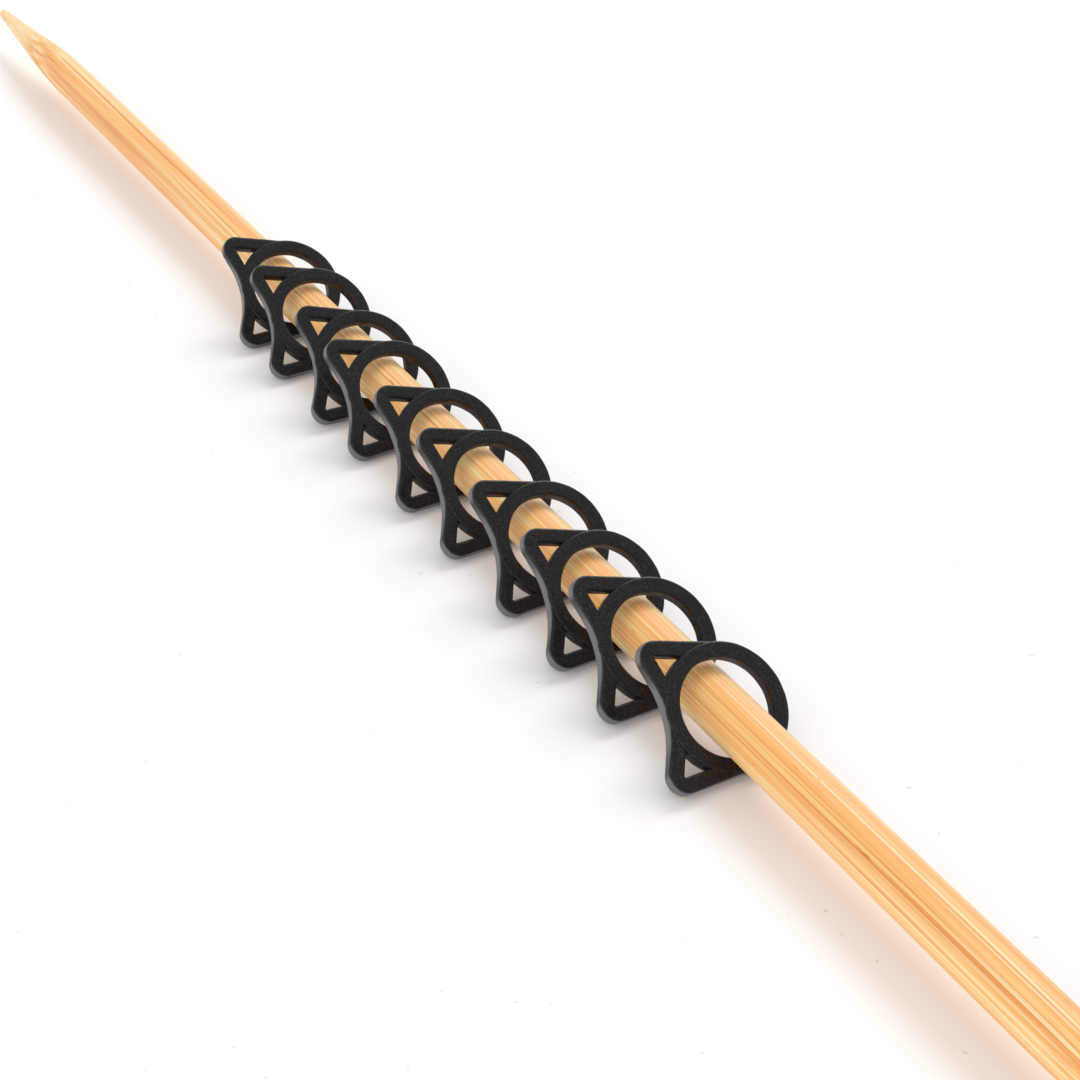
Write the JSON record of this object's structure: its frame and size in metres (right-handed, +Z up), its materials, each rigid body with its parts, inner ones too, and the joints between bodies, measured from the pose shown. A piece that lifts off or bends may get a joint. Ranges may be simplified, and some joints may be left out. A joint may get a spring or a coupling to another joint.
{
  "type": "stitch marker set",
  "caption": "Cat-head-shaped closed ring stitch markers threaded on a bamboo double-pointed knitting needle, each free to slide along it.",
  "frame": {"origin": "on the table that the markers stand on, at the middle of the whole set's footprint", "axes": "+X along the needle towards the end with the longer free stretch before the nearest marker's face, +Z up, +Y away from the ears"},
  "size_m": [0.2, 0.0098, 0.0072],
  "materials": {
    "bamboo": "satin",
    "black_coating": "matte"
  },
  "bodies": {
    "needle": {"needle": "bamboo"},
    "marker_01": {"marker_01": "black_coating"},
    "marker_02": {"marker_02": "black_coating"},
    "marker_03": {"marker_03": "black_coating"},
    "marker_04": {"marker_04": "black_coating"},
    "marker_05": {"marker_05": "black_coating"},
    "marker_06": {"marker_06": "black_coating"},
    "marker_07": {"marker_07": "black_coating"},
    "marker_08": {"marker_08": "black_coating"},
    "marker_09": {"marker_09": "black_coating"},
    "marker_10": {"marker_10": "black_coating"}
  },
  "joints": [
    {"name": "marker_01_slide", "type": "slide", "parent": "needle", "child": "marker_01", "axis": [1, 0, 0], "range_m": [-0.075, 0.0043]},
    {"name": "marker_02_slide", "type": "slide", "parent": "needle", "child": "marker_02", "axis": [1, 0, 0], "range_m": [-0.0043, 0.0068]},
    {"name": "marker_03_slide", "type": "slide", "parent": "needle", "child": "marker_03", "axis": [1, 0, 0], "range_m": [-0.0068, 0.0039]},
    {"name": "marker_04_slide", "type": "slide", "parent": "needle", "child": "marker_04", "axis": [1, 0, 0], "range_m": [-0.0039, 0.0067]},
    {"name": "marker_05_slide", "type": "slide", "parent": "needle", "child": "marker_05", "axis": [1, 0, 0], "range_m": [-0.0067, 0.0053]},
    {"name": "marker_06_slide", "type": "slide", "parent": "needle", "child": "marker_06", "axis": [1, 0, 0], "range_m": [-0.0053, 0.0064]},
    {"name": "marker_07_slide", "type": "slide", "parent": "needle", "child": "marker_07", "axis": [1, 0, 0], "range_m": [-0.0064, 0.0055]},
    {"name": "marker_08_slide", "type": "slide", "parent": "needle", "child": "marker_08", "axis": [1, 0, 0], "range_m": [-0.0055, 0.0047]},
    {"name": "marker_09_slide", "type": "slide", "parent": "needle", "child": "marker_09", "axis": [1, 0, 0], "range_m": [-0.0047, 0.0065]},
    {"name": "marker_10_slide", "type": "slide", "parent": "needle", "child": "marker_10", "axis": [1, 0, 0], "range_m": [-0.0065, 0.052]}
  ]
}
